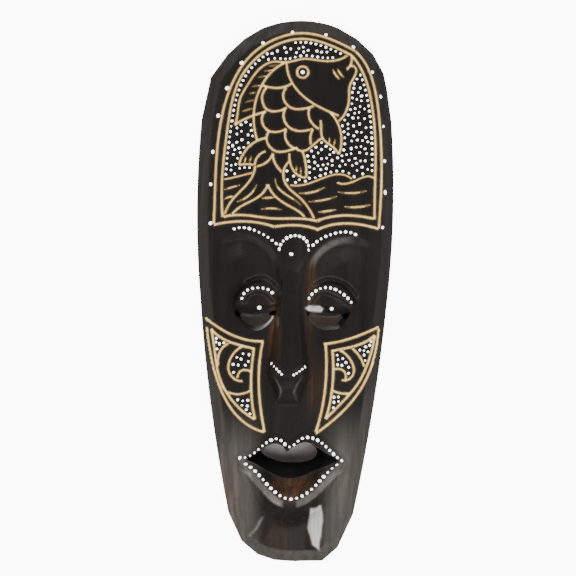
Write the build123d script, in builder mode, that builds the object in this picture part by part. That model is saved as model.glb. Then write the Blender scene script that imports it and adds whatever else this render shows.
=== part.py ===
from build123d import *
import math
import os
import random

# A long carved wall mask of light wood: a hollowed, crowned slab with a face cut into it, gouge
# lines cut through the dark stain, raised paint dots, and a steel hanger inside the hollow back.
# The face looks to -Y, the back rests on the plane y = 0, and the origin is the middle of the back.

# ------------------------------------------------------------------ driving dimensions (mm)
HALF_LENGTH = 250
CROWN_DEPTH = 38          # thickness of the slab on the centre line, at mid height
CROWN_RADIUS = 217        # curve of the front from side to side
BAR_HALF_WIDTH = 120      # the crowned bar that the mask is cut from is wider than the mask
BROW_HEIGHT = 50          # above this line the front leans back towards the top
FOREHEAD_LEAN = 3.4       # degrees
# knife cuts that shape the chin: a point of each cut, and the way it faces
CHIN_CUTS = [
    ((0, -37, -206), (0, -1, -0.42)),
    ((30, -31, -206), (0.75, -1, -0.35)),
    ((-30, -31, -206), (-0.75, -1, -0.35)),
]
BEVEL = 7                 # width of the knife-cut bevel round the front
NOSE_DEPTH = 58           # furthest point of the face from the wall
WALL = 12                 # wood left between the front and the hollow
RIM = 14                  # width of the flat rim round the hollow
GROOVE_DEPTH = 1.2        # depth of the gouge lines
LIP_DEPTH = 46
LIP_ROOT = 22             # where the raised mouth starts, inside the slab
LIP_TAPER = 16
MOUTH_FLOOR = 36          # depth of the scooped face inside the lower lip
NOSE_ROOT = 15
FACE_AXIS = -2            # the face sits a little to the left of the outline's middle

# the hanger
SEAT_DEPTH = 16.5         # flat patch in the hollow that the strap is nailed to
SHEET = 0.8               # steel of the strap
STRAP_WIDTH = 13
STRAP_DROP = 17           # length of the strap below the ring's bar
RING_WIRE = 1.25          # radius of the ring's wire
RING_WIDTH = 22           # between the wire centres
RING_RISE = 22
RING_CORNER = 3
RING_GAP = 0.05           # running clearance between the wire and the barrel
RING_HEIGHT = 204         # height of the ring's bar above the origin
NAIL_RADIUS = 0.8
NAIL_LENGTH = 8
NAIL_HEAD_RADIUS = 1.9
NAIL_HEAD_THICKNESS = 0.7
NAIL_DROPS = (6.5, 13)
SEAT_WIDTH = 34
SEAT_LENGTH = 56
SEAT_CORNER = 6

# gouge widths
FRAME_LINE = 2.8
MOTIF_LINE = 2.5
WAVE_LINE = 2.1
RIPPLE_LINE = 2.3
TICK_LINE = 1.8
SIDE_PITCH = 4            # length of the straight cuts that make up a gouge line
POINTED_CUTS = 4          # least number of cuts along a stroke that comes to a point
# width of a stroke at its ends, as a share of its middle
FULL = 1
POINTED = 0.35

# paint dots: radius of the bead
LARGE_DOT = 2.1
BORDER_DOT = 1.8
FACE_DOT = 1.65
SMALL_DOT = 1.4
DOT_RISE = 0.55           # height of a bead above the wood, as a share of its radius
DOT_SINK = 0.3            # how far the paint keys into the grain
DOT_CREST = 0.5           # radius of a bead's flat crest, as a share of its radius

FRONT = Plane.XZ          # sketches are drawn looking at the face, x to the right and z up
FAR = 80                  # longer than anything is deep

# relief of the face: each eye socket is the hollow left by a ball
SOCKET_CENTRES = [(-35, -100, 6), (32, -100, 6)]
SOCKET_RADIUS = 70
# each eyelid: inner and outer corner, highest and lowest point, then the axle it is rounded about
LIDS = [
    [(-57, -15), (-35, 4), (-15, -14), (-35, -24)],
    [(10, -15), (31, 5), (54, -14), (32, -24)],
]
LID_ROOT = 20
LID_ROUND = 24
LID_AXLE = (-12.5, -9)
# sections down the nose: height, half width at the root, half width and depth of the ridge
NOSE_SECTIONS = [
    (34, 9, 4, 34),
    (0, 12, 4, 43),
    (-60, 22, 6, 55),
    (-92, 25, 8, NOSE_DEPTH),
    (-104, 20, 7, 44),
]

# ------------------------------------------------------------------ drawn outlines (x, z)
UPPER_LEFT = [(-88, 158), (-91, 85), (-86.5, -8)]
LOWER_LEFT = [(-86.5, -8), (-76.3, -100), (-57.5, -205)]
CHIN = [(-45, -231), (-30, -244), (-14, -249), (4, -250), (30, -248.5), (44, -236)]
LOWER_RIGHT = [(58, -205), (76, -100), (86.5, -8)]
UPPER_RIGHT = [(86.5, -8), (91, 85), (88, 158)]
SHOULDER_RIGHT = [(83.5, 188), (80, 203), (70, 220.5), (55, 234)]
TOP_ARC = [(37, 244), (4, 250), (-34, 242)]
SHOULDER_LEFT = [(-49, 233), (-65, 218), (-80, 197)]

EYE_OPENINGS = [
    [(-53, -18), (-45, -20.5), (-34, -21.5), (-22, -18), (-17, -17), (-20, -26), (-30, -35.5),
     (-44, -35)],
    [(12, -19), (22, -21), (38, -22), (51, -18), (46, -29), (34, -35), (20, -32)],
]
MOUTH_UPPER = [(-42, -155), (-28, -147), (-14, -140.5), (-4, -147), (2, -143), (14, -139), (30, -148),
               (42, -155)]
MOUTH_LOWER = [(42, -155), (24, -163), (0, -172.5), (-24, -164), (-42, -155)]
MOUTH_BOWL = [(-41, -157), (-27, -169), (-12, -183), (-2, -187.5), (9, -184.5), (24, -173), (41, -157)]
# the raised mouth, outlined in straight knife cuts: the lower lip, then back along the upper lip
LIPS = [(-54, -155), (-42, -174), (-26, -194), (-8, -209), (6, -208), (22, -196), (38, -176), (52, -156),
        (42, -148), (24, -132), (8, -131), (-3, -138), (-12, -131), (-24, -136), (-40, -147)]

# the panel on the forehead: two frame lines, arched over the top
FRAME_OUTER = [(-75, 61), (-74, 105), (-69, 160), (-58, 195), (-42, 218), (-20, 232.5), (5, 238),
               (30, 233), (53, 222.5)]
FRAME_OUTER_RIGHT = [(53, 222.5), (63, 211), (72, 187), (77, 155), (79.3, 105), (77.5, 58.5)]
FRAME_OUTER_BASE = [
    [(-75, 60), (-62, 62.5), (-38, 63), (-19, 58.8)],
    [(-19.6, 58.7), (-3, 60.6), (10, 59.8), (22, 56.6)],
    [(21, 56.8), (34, 61.5), (58, 62.5), (77.5, 58.5)],
]
FRAME_INNER = [(-67, 67), (-68, 95), (-63.5, 150), (-50, 200), (-35, 217), (-12, 230), (5, 232.7),
               (28, 228), (50, 218.5)]
FRAME_INNER_RIGHT = [(50, 218.5), (60, 204), (69, 175), (73.5, 125), (73.5, 67)]
FRAME_INNER_BASE = [
    [(-66, 67.4), (-48, 69.3), (-20, 66.5), (0, 66.8), (21, 64.6)],
    [(20, 64.7), (38, 69.7), (58, 70), (72.5, 67.8)],
]

# a leaping carp
FISH_OUTLINE = [
    [(46.5, 218.5), (36, 213.5), (22, 212.8), (5, 214.2), (-10, 211), (-22, 211.3), (-28, 209.5),
     (-40, 198.5), (-46, 189), (-52, 178), (-54.5, 163), (-57, 152)],
    [(-57, 152), (-48, 158), (-38, 162), (-28, 165.5)],
    [(-10, 211), (-24, 201.5), (-35, 184), (-39.5, 164), (-38.5, 148), (-36, 138.5)],
    [(-10, 211), (-6, 194.5), (5, 180.5), (20, 170.5), (39, 162.3)],
    [(49.5, 219), (50, 211.5), (45.5, 205)],
    [(49, 209), (54.5, 206), (53.5, 200), (48.8, 191), (48.2, 178), (45, 165), (38.5, 157)],
    [(31, 165), (38, 155.5), (41.5, 144), (39.5, 126.5)],
    [(22, 158), (22.8, 149), (24, 141.5), (30, 136), (39.5, 126.5)],
    [(24, 141.5), (15, 134), (7, 129), (-1, 132.5)],
    [(-28, 140.5), (-38, 137), (-47, 128.5), (-52.5, 115.5)],
    [(-52.5, 115.5), (-45, 116.3), (-37.5, 115.5)],
    [(-28, 128.5), (-35, 124), (-38, 115.5)],
    [(-21.5, 126), (-26, 119), (-36, 114.5)],
    [(-37.5, 115), (-41, 103), (-52, 90), (-61, 79), (-65, 69)],
    [(-21.5, 127), (-18.5, 116), (-12.5, 109.5)],
    [(-6, 119.5), (-11.5, 109), (-10, 100), (4, 86), (13, 75.5), (17.5, 67)],
    [(-58.5, 69.5), (-47, 79), (-33, 87), (-25.5, 98)],
    [(-25.5, 98), (-20, 88.5), (-8, 79.5), (3, 73.5), (9, 68)],
    [(-6, 127), (-4.5, 115.5), (1, 107.5), (9.5, 104.5)],
    [(6, 128.5), (9, 118), (9.5, 104.5)],
]
SCALES = [
    [(-33, 189.5), (-22, 187), (-12, 187.8), (-5, 191.5)],
    [(-28, 187), (-32.3, 177), (-27, 166.5), (-17, 165.7), (-9, 169)],
    [(-10, 187.5), (-12, 176), (-5, 168.6), (6, 168), (16, 171)],
    [(-29, 165.5), (-32, 156), (-26, 147.3), (-17, 146.5), (-9, 149.5)],
    [(-10.5, 168), (-11, 156), (-3, 148.5), (7, 147.7), (15.5, 150)],
    [(12, 169.5), (11.5, 160), (15.5, 153.5), (21, 149.5)],
    [(-25.5, 146.5), (-26.2, 135), (-18, 128.2), (-8, 129), (0, 131.5)],
    [(-9.5, 149), (-9.5, 139), (-4, 132.5), (1, 131)],
    [(15.5, 149.5), (12.8, 142), (14, 134.5)],
]
FISH_TICKS = [
    [(-18, 208.3), (-27, 207)], [(-22, 203.5), (-31, 202.3)], [(-28, 198.3), (-36.5, 196.5)],
    [(-33, 189.5), (-42, 188)], [(-37, 183), (-44, 181.5)], [(-39, 176), (-47.5, 173.5)],
    [(-40, 168), (-50.5, 165)], [(30.5, 142.5), (30.7, 136)], [(36, 141), (34.5, 134)],
    [(0.5, 115.5), (0.5, 108.5)], [(4.5, 114.5), (4.5, 106.5)], [(-46, 123.5), (-47.5, 117)],
    [(-41, 124), (-43, 117.5)],
]
FISH_RAYS = [
    [(33, 205.5), (35, 200.5), (39.5, 196)], [(37, 206), (39.5, 201.5), (43.5, 197.5)],
    [(-35.5, 98), (-41, 89), (-54, 81.5)], [(-19, 104), (-14, 92.5), (-5, 86.5), (5.5, 78.5)],
]
FISH_EYE = (5, 202)
FISH_EYE_RADIUS = 5.2
LONG_WAVES = [
    [(-66, 102), (-53, 105), (-40, 108.5)],
    [(-5, 97.5), (12, 99.2), (28, 105.5), (40, 108.3), (52, 104)],
    [(38, 100.5), (48, 99.8), (59, 104.5), (66, 107), (73, 105)],
]
RIPPLES = [
    [(-66, 92.5), (-58, 95), (-51, 97)], [(-66, 83.5), (-60, 86), (-56, 86.5)], [(-31, 85), (-19, 86)],
    [(-31.5, 74.8), (-22, 75.8), (-12, 74.7)], [(3, 90), (15, 91), (27, 96)],
    [(12, 82.5), (24, 83.8), (38.5, 88)], [(21, 73), (29, 74), (38, 75.5)],
    [(39, 92), (51, 91), (66, 93.5)], [(45, 78.5), (54, 78), (70, 80.5)],
]
# ground of the panel that is filled with dots: a left part over the fish's back, and a right part
DOT_GROUNDS = [
    [(48, 220), (5, 232), (-35, 217), (-54, 190), (-64, 150), (-67, 102), (-40, 108), (-37, 115),
     (-52, 115), (-47, 128), (-36, 138), (-39, 161), (-57, 152), (-53, 178), (-28, 210), (5, 214),
     (30, 213)],
    [(54, 208), (62, 200), (70, 175), (74, 125), (73, 105), (62, 106), (52, 104), (38, 109), (10, 99),
     (-5, 98), (-11, 106), (-6, 118), (-4, 113), (9, 105), (8, 126), (15, 134), (24, 141),
     (39, 127), (41, 144), (38, 157), (45, 165), (48, 185)],
]
GROUND_TRIES = 6000       # chance places tried for a dot in each part of the ground
EDGE_PITCH = 5            # spacing of the row that follows each line
LEAST_PITCH = 4.15        # no two dots stand closer than this
EDGE_GAP = 3.05           # from the middle of a gouge line to the row of dots beside it
LEAST_EDGE_GAP = 2.95     # no dot stands closer than this to the middle of a gouge line

# the two panels on the cheeks
CHEEK_LEFT = [
    [(-84, -24), (-68, -35.5), (-48, -44.5), (-27, -46.7)],
    [(-28, -47), (-31.2, -80), (-29.5, -105), (-25, -130.5)],
    [(-81, -27), (-77, -55), (-66, -92), (-49, -117.5), (-25, -130.5)],
    [(-76, -36), (-62, -46.5), (-50, -50.5), (-35, -54)],
    [(-36, -54), (-38.2, -78), (-37, -103), (-34, -119)],
    [(-76, -36), (-72, -58), (-67, -82), (-56, -101), (-34, -119)],
]
CHEEK_LEFT_CURLS = [
    [(-59, -48.5), (-66, -54.5), (-69, -70)],
    [(-46, -51.5), (-57, -62), (-59, -75), (-52, -83), (-46, -83.7)],
    [(-51, -81), (-48, -74.3), (-39, -74.5)],
    [(-60, -94), (-50, -96), (-38, -92)],
]
CHEEK_RIGHT = [
    [(28, -48.5), (50, -44), (66, -38), (79, -32)],
    [(30, -48.5), (31, -76), (28.5, -103), (22, -130)],
    [(79, -32), (75.5, -58), (64, -88), (45, -112), (22, -131)],
    [(35, -55), (54, -50.8), (67, -46), (75.5, -39.5)],
    [(36.5, -55), (37.3, -80), (34.5, -104), (31, -117.5)],
    [(75.5, -39.5), (71, -60), (60, -85), (46, -102), (31, -117.5)],
]
CHEEK_RIGHT_CURLS = [
    [(54, -51.5), (61, -58.5), (66, -69)],
    [(43, -54), (54, -64), (56, -76), (49, -82), (45, -81.3)],
    [(49, -81), (47.5, -73), (38, -71.5)],
    [(36.5, -91), (45, -93.8), (54, -93.5)],
]
# every gouge stroke: the curves, the width of the line and how far its ends narrow
GOUGE_WORK = [
    ([FRAME_OUTER, FRAME_OUTER_RIGHT] + FRAME_OUTER_BASE, FRAME_LINE, FULL),
    ([FRAME_INNER, FRAME_INNER_RIGHT] + FRAME_INNER_BASE, FRAME_LINE, FULL),
    (FISH_OUTLINE + SCALES, MOTIF_LINE, FULL),
    (LONG_WAVES, WAVE_LINE, FULL),
    (FISH_RAYS + RIPPLES, RIPPLE_LINE, POINTED),
    (FISH_TICKS, TICK_LINE, POINTED),
    (CHEEK_LEFT + CHEEK_RIGHT, FRAME_LINE, FULL),
    (CHEEK_LEFT_CURLS + CHEEK_RIGHT_CURLS, MOTIF_LINE, FULL),
]

# ------------------------------------------------------------------ places of the paint dots (x, z)
BORDER_SPOTS = [(-78, 61.5), (-78.5, 97.5), (-77, 127.5), (-72.5, 161), (-64.5, 186.5), (-51.5, 210),
                (-32, 228.5), (-5, 238.8), (26, 237), (51.5, 226.3), (69.5, 203.5), (77.5, 181),
                (80.5, 153.5), (82, 121.5), (83, 92.5), (81, 60)]
BROW_LEFT = ([(-56, 56.5), (-48, 57.8), (-37, 55.3), (-27, 50.5), (-17, 43.5)], 10)
BROW_RIGHT = ([(17, 42.5), (26, 49.5), (37, 53.7), (47, 55.3), (56, 53)], 10)
ARCH = ([(-14, 38.5), (-10.5, 46), (-1, 51), (8.5, 48.5), (12.8, 38)], 11)
LID_LEFT = ([(-47.8, -7.5), (-42, 0.7), (-33, 2.5), (-25, 1.5), (-20, -1.8)], 8)
LID_RIGHT = ([(14, -6.5), (20, 0.3), (30, 3.8), (41, 0.7), (53, -9.5)], 11)
UPPER_LIP = ([(-47.5, -154.5), (-33.5, -149), (-20, -138), (-12, -136.5), (-2.2, -143.5),
              (8, -136.5), (19, -135), (33, -144), (46.5, -155.5)], 24)
LOWER_LIP = ([(-42, -160), (-27, -172.5), (-12, -187), (-2, -191.3), (9, -189), (24, -177),
              (42, -159.5)], 21)
NOSTRIL_LEFT = ([(-19.5, -67), (-14.5, -72), (-10, -76.5)], 5)
NOSTRIL_RIGHT = ([(11, -69.5), (5.5, -74), (1, -77)], 5)
FOREHEAD_SPOT = (-3, 34)
PUPIL_SPOTS = [(-31.7, -15.8), (35, -15.8)]
CHEEK_LEFT_SPOTS = [
    (-71, -44.7), (-71.2, -48.2), (-68, -49.7), (-64, -48.8), (-70.3, -54.5), (-46, -58.5),
    (-40.5, -59.3), (-51.7, -62), (-47.8, -63.5), (-41, -65.5), (-55, -68.5), (-50.3, -69),
    (-43.7, -69), (-54.5, -75.8), (-50.3, -101), (-45.7, -102), (-41, -101.3), (-46.3, -106),
    (-41.3, -106.5), (-42.3, -110), (-38.8, -113.7),
]
CHEEK_RIGHT_SPOTS = [
    (72, -45.5), (70.7, -49), (67, -50.5), (61.7, -53.5), (65.5, -54), (69.3, -55), (65.7, -58),
    (66.8, -63), (40.7, -58.5), (41.7, -62.5), (46, -61.5), (49, -65.2), (41.3, -67.3),
    (45.3, -67.8), (51.5, -69.5), (51.5, -75), (38.5, -97.3), (42.5, -97), (42.7, -101),
    (38.5, -102), (38, -107),
]


# ------------------------------------------------------------------ helpers
def curve(points):
    """One gouge stroke, or the line that a row of dots follows."""
    with BuildLine(FRONT) as path:
        if len(points) > 2:
            Spline(*points)
        else:
            Line(*points)
    return path.line.edges()[0]


def band(points, width, tip):
    """The flat outline of one gouge stroke: short straight cuts beside its curve. A pointed stroke
    swells from narrow tips, where the gouge enters and leaves the wood."""
    path = curve(points)
    least = 1 if tip == FULL else POINTED_CUTS
    steps = max(least, math.ceil(path.length / SIDE_PITCH))
    left_side = []
    right_side = []
    for step in range(steps + 1):
        share = step / steps
        place = path.position_at(share)
        ahead = path.tangent_at(share)
        half = width / 2 * (tip + (1 - tip) * math.sin(math.pi * share))
        left_side.append((place.X - ahead.Z * half, place.Z + ahead.X * half))
        right_side.append((place.X + ahead.Z * half, place.Z - ahead.X * half))
    with BuildSketch() as stroke:
        with BuildLine():
            Polyline(*right_side, *reversed(left_side), close=True)
        make_face()
    return stroke.sketch


def ring_band(centre, radius):
    """The flat outline of a gouge line that runs round a circle."""
    with BuildSketch() as ring:
        with Locations(centre):
            Circle(radius + MOTIF_LINE / 2)
            Circle(radius - MOTIF_LINE / 2, mode=Mode.SUBTRACT)
    return ring.sketch


def gouged(flat_band):
    """What the gouge takes away over a flat outline: the wood down to GROOVE_DEPTH."""
    with BuildPart() as chip:
        with BuildSketch(FRONT):
            add(flat_band)
        extrude(amount=FAR)
        add(bar.part.moved(Location((0, GROOVE_DEPTH, 0))), mode=Mode.SUBTRACT)
    return chip.part


def along(row):
    """Evenly spaced places along a curve, for a row of dots given as (curve points, count)."""
    points, count = row
    path = curve(points)
    places = [path.position_at(step / (count - 1)) for step in range(count)]
    return [(place.X, place.Z) for place in places]


def clear_of(place, others, gap):
    """Whether a place stands at least a gap away from all the others."""
    return all(math.hypot(place[0] - x, place[1] - z) >= gap for x, z in others)


def ground_spots():
    """Dots that fill the ground of the panel: a row beside each line, then loose dots between."""
    chance = random.Random(7)
    lines = [(place.X, place.Z) for place in stroke_places]
    fields = []
    for points in DOT_GROUNDS:
        with BuildSketch() as field:
            with BuildLine():
                Polyline(*points, close=True)
            make_face()
        fields.append(field.face())
    places = []
    for strokes, _, _ in GOUGE_WORK:
        for points in strokes:
            path = curve(points)
            count = max(1, round(path.length / EDGE_PITCH))
            for step in range(count + 1):
                place = path.position_at(step / count)
                way = path.tangent_at(step / count)
                for side in (EDGE_GAP, -EDGE_GAP):
                    places.append((place.X - side * way.Z, place.Z + side * way.X))
    for field in fields:
        box = field.bounding_box()
        for _ in range(GROUND_TRIES):
            x = chance.uniform(box.min.X, box.max.X)
            z = chance.uniform(box.min.Y, box.max.Y)
            places.append((x, z))
    spots = []
    for x, z in places:
        free = clear_of((x, z), spots, LEAST_PITCH) and clear_of((x, z), lines, LEAST_EDGE_GAP)
        if free and any(field.is_inside((x, z, 0)) for field in fields):
            spots.append((x, z))
    return spots


def surface_plane(x, z):
    """The plane that lies on the carved front at a place, with its normal out of the wood."""
    hits = face_solid.find_intersection_points(Axis((x, -FAR, z), (0, 1, 0)))
    point, normal = min(hits, key=lambda hit: hit[0].Y)
    if normal.Y > 0:
        normal = -normal
    return Plane(origin=point, z_dir=normal)


def bead(radius):
    """One dried drop of paint: it narrows to a flat crest, on a short foot that keys into the wood."""
    rise = DOT_RISE * radius
    with BuildPart() as drop:
        with BuildSketch(Plane.XZ):
            with BuildLine():
                Polyline(
                    (0, rise),
                    (0, -DOT_SINK),
                    (radius, -DOT_SINK),
                    (radius, 0),
                    (radius * DOT_CREST, rise),
                    close=True,
                )
            make_face()
        revolve(axis=Axis.Z)
    return drop.part


def crowned_bar(height, lean):
    """A long bar with a crowned front, leaning back about a level line at a height."""
    way = math.radians(lean)
    fall = CROWN_RADIUS - math.sqrt(CROWN_RADIUS**2 - BAR_HALF_WIDTH**2)
    left = (-BAR_HALF_WIDTH, fall)
    right = (BAR_HALF_WIDTH, fall)
    profile = Plane((0, -CROWN_DEPTH, height), x_dir=(1, 0, 0), z_dir=(0, math.sin(way), math.cos(way)))
    with BuildPart() as crowned:
        with BuildSketch(profile):
            with BuildLine():
                ThreePointArc(left, (0, 0), right)
                Polyline(right, (BAR_HALF_WIDTH, FAR), (-BAR_HALF_WIDTH, FAR), left)
            make_face()
        extrude(amount=2 * HALF_LENGTH, both=True)
    return crowned.part


def bevelled_slab(height, lean):
    """The outline of the mask under one crowned front, with a knife-cut bevel all round it."""
    with BuildPart() as slab:
        extrude(outline.sketch, amount=FAR)
        add(crowned_bar(height, lean), mode=Mode.INTERSECT)
        front = slab.faces().filter_by(GeomType.CYLINDER).sort_by(SortBy.AREA)[-1]
        chamfer(front.edges(), length=BEVEL)
    return slab.part


def eyelid(corners):
    """An almond of wood that bulges from the socket, rounded about a level axle."""
    left, top, right, bottom = corners
    with BuildPart() as lid:
        with BuildSketch(FRONT.offset(LID_ROOT)):
            with BuildLine():
                ThreePointArc(left, bottom, right)
                ThreePointArc(right, top, left)
            make_face()
        extrude(amount=CROWN_DEPTH - LID_ROOT)
        with Locations(Location((0, *LID_AXLE), (0, 90, 0))):
            Cylinder(LID_ROUND, 2 * HALF_LENGTH, mode=Mode.INTERSECT)
    return lid.part


def write(part, name):
    """Label a finished piece and write its file."""
    part.label = name
    export_step(part, f"parts/{name}.step")


def write_dots(name, spots, radius):
    """A group of paint dots of one size, standing on the carved front."""
    with BuildPart() as dots:
        with Locations(*[surface_plane(x, z) for x, z in spots]):
            add(bead(radius))
    write(dots.part, name)


os.makedirs("parts", exist_ok=True)

# ------------------------------------------------------------------ mask_body
with BuildSketch(FRONT) as outline:
    with BuildLine():
        ThreePointArc(*UPPER_LEFT)
        ThreePointArc(*LOWER_LEFT)
        Polyline(LOWER_LEFT[-1], *CHIN, LOWER_RIGHT[0])
        ThreePointArc(*LOWER_RIGHT)
        ThreePointArc(*UPPER_RIGHT)
        Polyline(UPPER_RIGHT[-1], *SHOULDER_RIGHT, TOP_ARC[0])
        ThreePointArc(*TOP_ARC)
        Polyline(TOP_ARC[-1], *SHOULDER_LEFT, UPPER_LEFT[0])
    make_face()

# The front is crowned from side to side. It is upright across the face and leans back above the
# brow, so the blank is where two crowned and bevelled slabs meet.
with BuildPart() as bar:
    add(crowned_bar(0, 0))
    add(crowned_bar(BROW_HEIGHT, FOREHEAD_LEAN), mode=Mode.INTERSECT)
with BuildPart() as blank:
    add(bevelled_slab(0, 0))
    add(bevelled_slab(BROW_HEIGHT, FOREHEAD_LEAN), mode=Mode.INTERSECT)

# The face in relief: a wedge of a nose, sunk sockets, bulging lids and a raised mouth.
with BuildPart() as relief:
    add(blank.part)
    for height, half_width, half_ridge, depth in NOSE_SECTIONS:
        with BuildSketch(Plane.XY.offset(height)):
            with BuildLine():
                Polyline(
                    (FACE_AXIS - half_width, -NOSE_ROOT),
                    (FACE_AXIS - half_ridge, -depth),
                    (FACE_AXIS + half_ridge, -depth),
                    (FACE_AXIS + half_width, -NOSE_ROOT),
                    close=True,
                )
            make_face()
    loft(ruled=True)
    for centre in SOCKET_CENTRES:
        with Locations(centre):
            Sphere(SOCKET_RADIUS, mode=Mode.SUBTRACT)
    for corners in LIDS:
        add(eyelid(corners))
    with BuildSketch(FRONT.offset(LIP_ROOT)):
        with BuildLine():
            Polyline(*LIPS, close=True)
        make_face()
    extrude(amount=LIP_DEPTH - LIP_ROOT, taper=LIP_TAPER)
    with BuildSketch(FRONT.offset(MOUTH_FLOOR)):
        with BuildLine():
            Spline(*MOUTH_BOWL)
            Line(MOUTH_BOWL[-1], MOUTH_BOWL[0])
        make_face()
    extrude(amount=FAR, mode=Mode.SUBTRACT)
    for point, facing in CHIN_CUTS:
        split(bisect_by=Plane(point, z_dir=facing), keep=Keep.BOTTOM)
face_solid = relief.part

# The hollow of the back: its floor follows the front, and a flat patch in it seats the hanger.
with BuildPart() as hollow:
    with BuildSketch(FRONT):
        add(outline.sketch)
        offset(amount=-RIM, mode=Mode.REPLACE)
    extrude(amount=CROWN_DEPTH)
    add(bar.part.moved(Location((0, WALL, 0))), mode=Mode.INTERSECT)
    with BuildSketch(FRONT):
        with Locations((0, RING_HEIGHT)):
            RectangleRounded(SEAT_WIDTH, SEAT_LENGTH, SEAT_CORNER)
    extrude(amount=SEAT_DEPTH)

with BuildPart() as mask_body:
    add(face_solid)
    with BuildSketch(FRONT):
        for outline_points in EYE_OPENINGS:
            with BuildLine():
                Spline(*outline_points, periodic=True)
            make_face()
    extrude(amount=FAR, mode=Mode.SUBTRACT)
    with BuildSketch(FRONT):
        with BuildLine():
            Spline(*MOUTH_UPPER)
            Spline(*MOUTH_LOWER)
        make_face()
    extrude(amount=FAR, mode=Mode.SUBTRACT)
    add(hollow.part, mode=Mode.SUBTRACT)
    for strokes, width, tip in GOUGE_WORK:
        for points in strokes:
            add(gouged(band(points, width, tip)), clean=False, mode=Mode.SUBTRACT)
    add(gouged(ring_band(FISH_EYE, FISH_EYE_RADIUS)), clean=False, mode=Mode.SUBTRACT)
    with BuildSketch(FRONT.offset(SEAT_DEPTH)):
        for drop in NAIL_DROPS:
            with Locations((0, RING_HEIGHT - drop)):
                Circle(NAIL_RADIUS)
    extrude(amount=NAIL_LENGTH, mode=Mode.SUBTRACT)
write(mask_body.part, "mask_body")

# ------------------------------------------------------------------ paint dots
stroke_places = []
for strokes, _, _ in GOUGE_WORK:
    for points in strokes:
        path = curve(points)
        steps = math.ceil(path.length)
        stroke_places += [path.position_at(step / steps) for step in range(steps + 1)]
write_dots("border_dots", BORDER_SPOTS, BORDER_DOT)
write_dots("panel_dots", ground_spots(), SMALL_DOT)
write_dots("fish_eye_dot", [FISH_EYE], LARGE_DOT)
write_dots("brow_dots_left", along(BROW_LEFT), FACE_DOT)
write_dots("brow_dots_right", along(BROW_RIGHT), FACE_DOT)
write_dots("forehead_arch_dots", along(ARCH), FACE_DOT)
write_dots("forehead_dot", [FOREHEAD_SPOT], LARGE_DOT)
write_dots("eyelid_dots_left", along(LID_LEFT), FACE_DOT)
write_dots("eyelid_dots_right", along(LID_RIGHT), FACE_DOT)
write_dots("pupil_dots", PUPIL_SPOTS, LARGE_DOT)
write_dots("cheek_dots_left", CHEEK_LEFT_SPOTS, SMALL_DOT)
write_dots("cheek_dots_right", CHEEK_RIGHT_SPOTS, SMALL_DOT)
write_dots("nostril_dots", along(NOSTRIL_LEFT) + along(NOSTRIL_RIGHT), SMALL_DOT)
write_dots("upper_lip_dots", along(UPPER_LIP), FACE_DOT)
write_dots("lower_lip_dots", along(LOWER_LIP), FACE_DOT)

# ------------------------------------------------------------------ hanger_strap
# One strip of sheet folded round the ring's bar: two leaves lie together on the seat, and the
# fold makes a barrel. The bar's centre stands off the seat by the barrel's outer radius.
bore_radius = RING_WIRE + RING_GAP
barrel_radius = bore_radius + SHEET
ring_depth = SEAT_DEPTH - barrel_radius
with BuildPart() as hanger_strap:
    with BuildSketch(Plane.YZ.offset(-STRAP_WIDTH / 2)):
        with Locations((-ring_depth, RING_HEIGHT)):
            Circle(barrel_radius)
        with Locations((-SEAT_DEPTH, RING_HEIGHT)):
            Rectangle(2 * SHEET, STRAP_DROP, align=(Align.MIN, Align.MAX))
        with Locations((-ring_depth, RING_HEIGHT)):
            Circle(bore_radius, mode=Mode.SUBTRACT)
    extrude(amount=STRAP_WIDTH)
    with BuildSketch(FRONT.offset(SEAT_DEPTH - 2 * SHEET)):
        for drop in NAIL_DROPS:
            with Locations((0, RING_HEIGHT - drop)):
                Circle(NAIL_RADIUS)
    extrude(amount=2 * SHEET, mode=Mode.SUBTRACT)
    foot = hanger_strap.edges().filter_by(Axis.Y).group_by(Axis.Z)[0]
    fillet(foot, STRAP_WIDTH / 4)
write(hanger_strap.part, "hanger_strap")

# ------------------------------------------------------------------ hanger_ring
half_ring = RING_WIDTH / 2
ring_top = RING_HEIGHT + RING_RISE
shoulder = ring_top - half_ring
with BuildPart() as hanger_ring:
    with BuildLine(FRONT.offset(ring_depth)) as loop:
        FilletPolyline(
            (half_ring, shoulder),
            (half_ring, RING_HEIGHT),
            (-half_ring, RING_HEIGHT),
            (-half_ring, shoulder),
            radius=RING_CORNER,
        )
        ThreePointArc((-half_ring, shoulder), (0, ring_top), (half_ring, shoulder))
    with BuildSketch(Plane((0, -ring_depth, RING_HEIGHT), z_dir=(1, 0, 0))):
        Circle(RING_WIRE)
    sweep(path=loop.wires()[0])
write(hanger_ring.part, "hanger_ring")

# ------------------------------------------------------------------ hanger_nails
nail_seat = SEAT_DEPTH - 2 * SHEET
with BuildPart() as hanger_nails:
    for drop in NAIL_DROPS:
        with BuildSketch(FRONT.offset(nail_seat)):
            with Locations((0, RING_HEIGHT - drop)):
                Circle(NAIL_RADIUS)
        extrude(amount=NAIL_LENGTH + 2 * SHEET)
        with BuildSketch(FRONT.offset(nail_seat)):
            with Locations((0, RING_HEIGHT - drop)):
                Circle(NAIL_HEAD_RADIUS)
        extrude(amount=-NAIL_HEAD_THICKNESS)
write(hanger_nails.part, "hanger_nails")
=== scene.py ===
import math

import bmesh
import bpy
import numpy as np
from mathutils import Matrix, Vector, kdtree
from mathutils.geometry import delaunay_2d_cdt


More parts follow.
